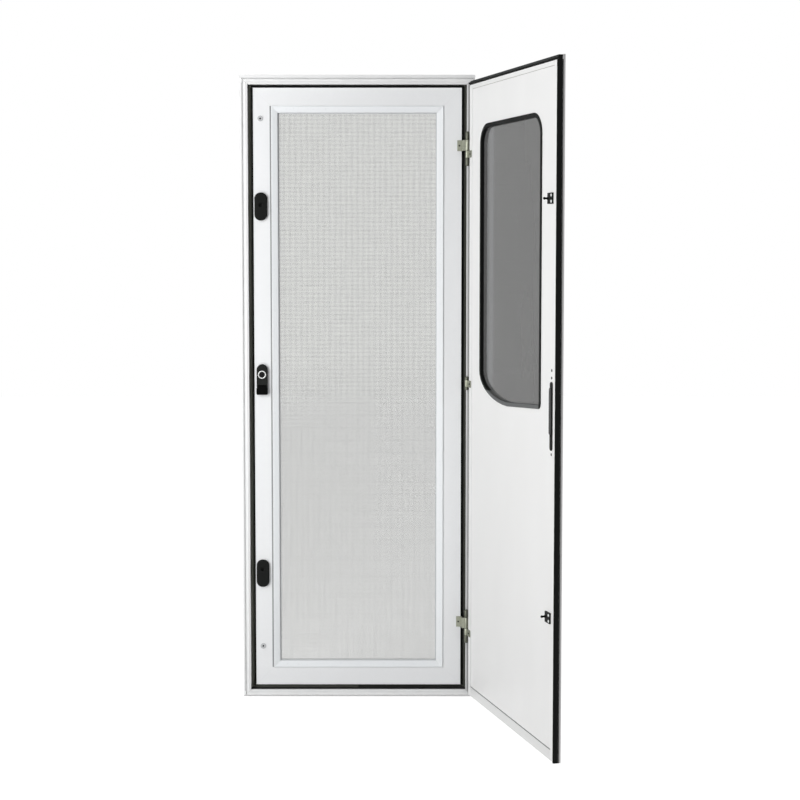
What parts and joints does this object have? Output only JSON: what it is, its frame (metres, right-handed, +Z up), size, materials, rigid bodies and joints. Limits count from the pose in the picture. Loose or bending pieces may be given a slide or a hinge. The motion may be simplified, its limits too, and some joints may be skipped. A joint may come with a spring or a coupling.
{
  "type": "framed caravan entry door with an inner screen door",
  "caption": "White aluminium caravan door surround with a hinged mesh screen door inside and an outer leaf with a window on the same hinge pins.",
  "frame": {"origin": "centre of the flat back of the sill's flange, on the outside of the wall", "axes": "+Z up, -Y outdoors, +Y into the caravan, +X towards the hinges"},
  "size_m": [0.8508, 0.6509, 1.776],
  "materials": {
    "frame_white": "white powder coat",
    "cover_white": "white plastic",
    "screen_white": "white powder coat",
    "leaf_white": "smooth white paint",
    "seal_rubber": "black rubber",
    "spline_grey": "grey rubber",
    "mesh_grey": "woven light grey mesh",
    "hinge_nickel": "satin khaki nickel",
    "lock_steel": "satin steel",
    "black_plastic": "black plastic",
    "slider_grey": "dark grey plastic",
    "foam_core": "foam",
    "window_grey": "grey acrylic",
    "trim_black": "black rubber trim"
  },
  "bodies": {
    "surround": {"frame_left_jamb": "frame_white", "frame_right_jamb": "frame_white", "frame_head": "frame_white", "frame_sill": "frame_white", "head_drip_strip": "frame_white", "fixing_covers": "cover_white", "frame_seal": "seal_rubber", "frame_knuckles": "hinge_nickel", "hinge_pins": "hinge_nickel"},
    "screen_door": {"screen_left_stile": "screen_white", "screen_right_stile": "screen_white", "screen_top_rail": "screen_white", "screen_bottom_rail": "screen_white", "screen_bead": "screen_white", "mesh_spline": "spline_grey", "screen_mesh": "mesh_grey", "screen_hinge_plates": "hinge_nickel", "catch_sockets": "black_plastic", "lock_body": "black_plastic", "lock_ring": "lock_steel", "screen_caps": "lock_steel"},
    "key_barrel": {"key_barrel": "lock_steel"},
    "lock_lever": {"lock_lever": "black_plastic"},
    "leaf": {"leaf_outer_skin": "leaf_white", "leaf_core": "foam_core", "leaf_inner_skin": "leaf_white", "leaf_hinge_edge": "leaf_white", "leaf_free_edge": "leaf_white", "leaf_top_edge": "leaf_white", "leaf_bottom_edge": "leaf_white", "leaf_seal": "seal_rubber", "window_glass": "window_grey", "window_inner_trim": "trim_black", "window_outer_trim": "trim_black", "catch_blocks": "black_plastic", "catch_pins": "lock_steel", "release_plate": "black_plastic", "leaf_hinge_tabs": "hinge_nickel", "outer_handle": "black_plastic"},
    "release_slider": {"release_slider": "slider_grey"}
  },
  "joints": [
    {"name": "leaf_hinge", "type": "hinge", "parent": "surround", "child": "leaf", "pos_m": [0.31, -0.016, 0], "axis": [0, 0, 1], "range_deg": [-107.5, 22.5]},
    {"name": "screen_hinge", "type": "hinge", "parent": "surround", "child": "screen_door", "pos_m": [0.31, -0.016, 0], "axis": [0, 0, 1], "range_deg": [0, 100]},
    {"name": "lock_lever_pull", "type": "hinge", "parent": "screen_door", "child": "lock_lever", "pos_m": [-0.2725, -0.003, 0.8882], "axis": [-1, 0, 0], "range_deg": [0, 25], "stiffness_Nm_per_rad": 0.02, "springref_deg": -28.65},
    {"name": "key_turn", "type": "hinge", "parent": "screen_door", "child": "key_barrel", "pos_m": [-0.2725, 0, 0.922], "axis": [0, 1, 0], "range_deg": [0, 90]},
    {"name": "release_slide", "type": "slide", "parent": "leaf", "child": "release_slider", "axis": [0, 0, -1], "range_m": [0, 0.016], "stiffness_N_per_m": 60, "springref_m": -0.01}
  ]
}
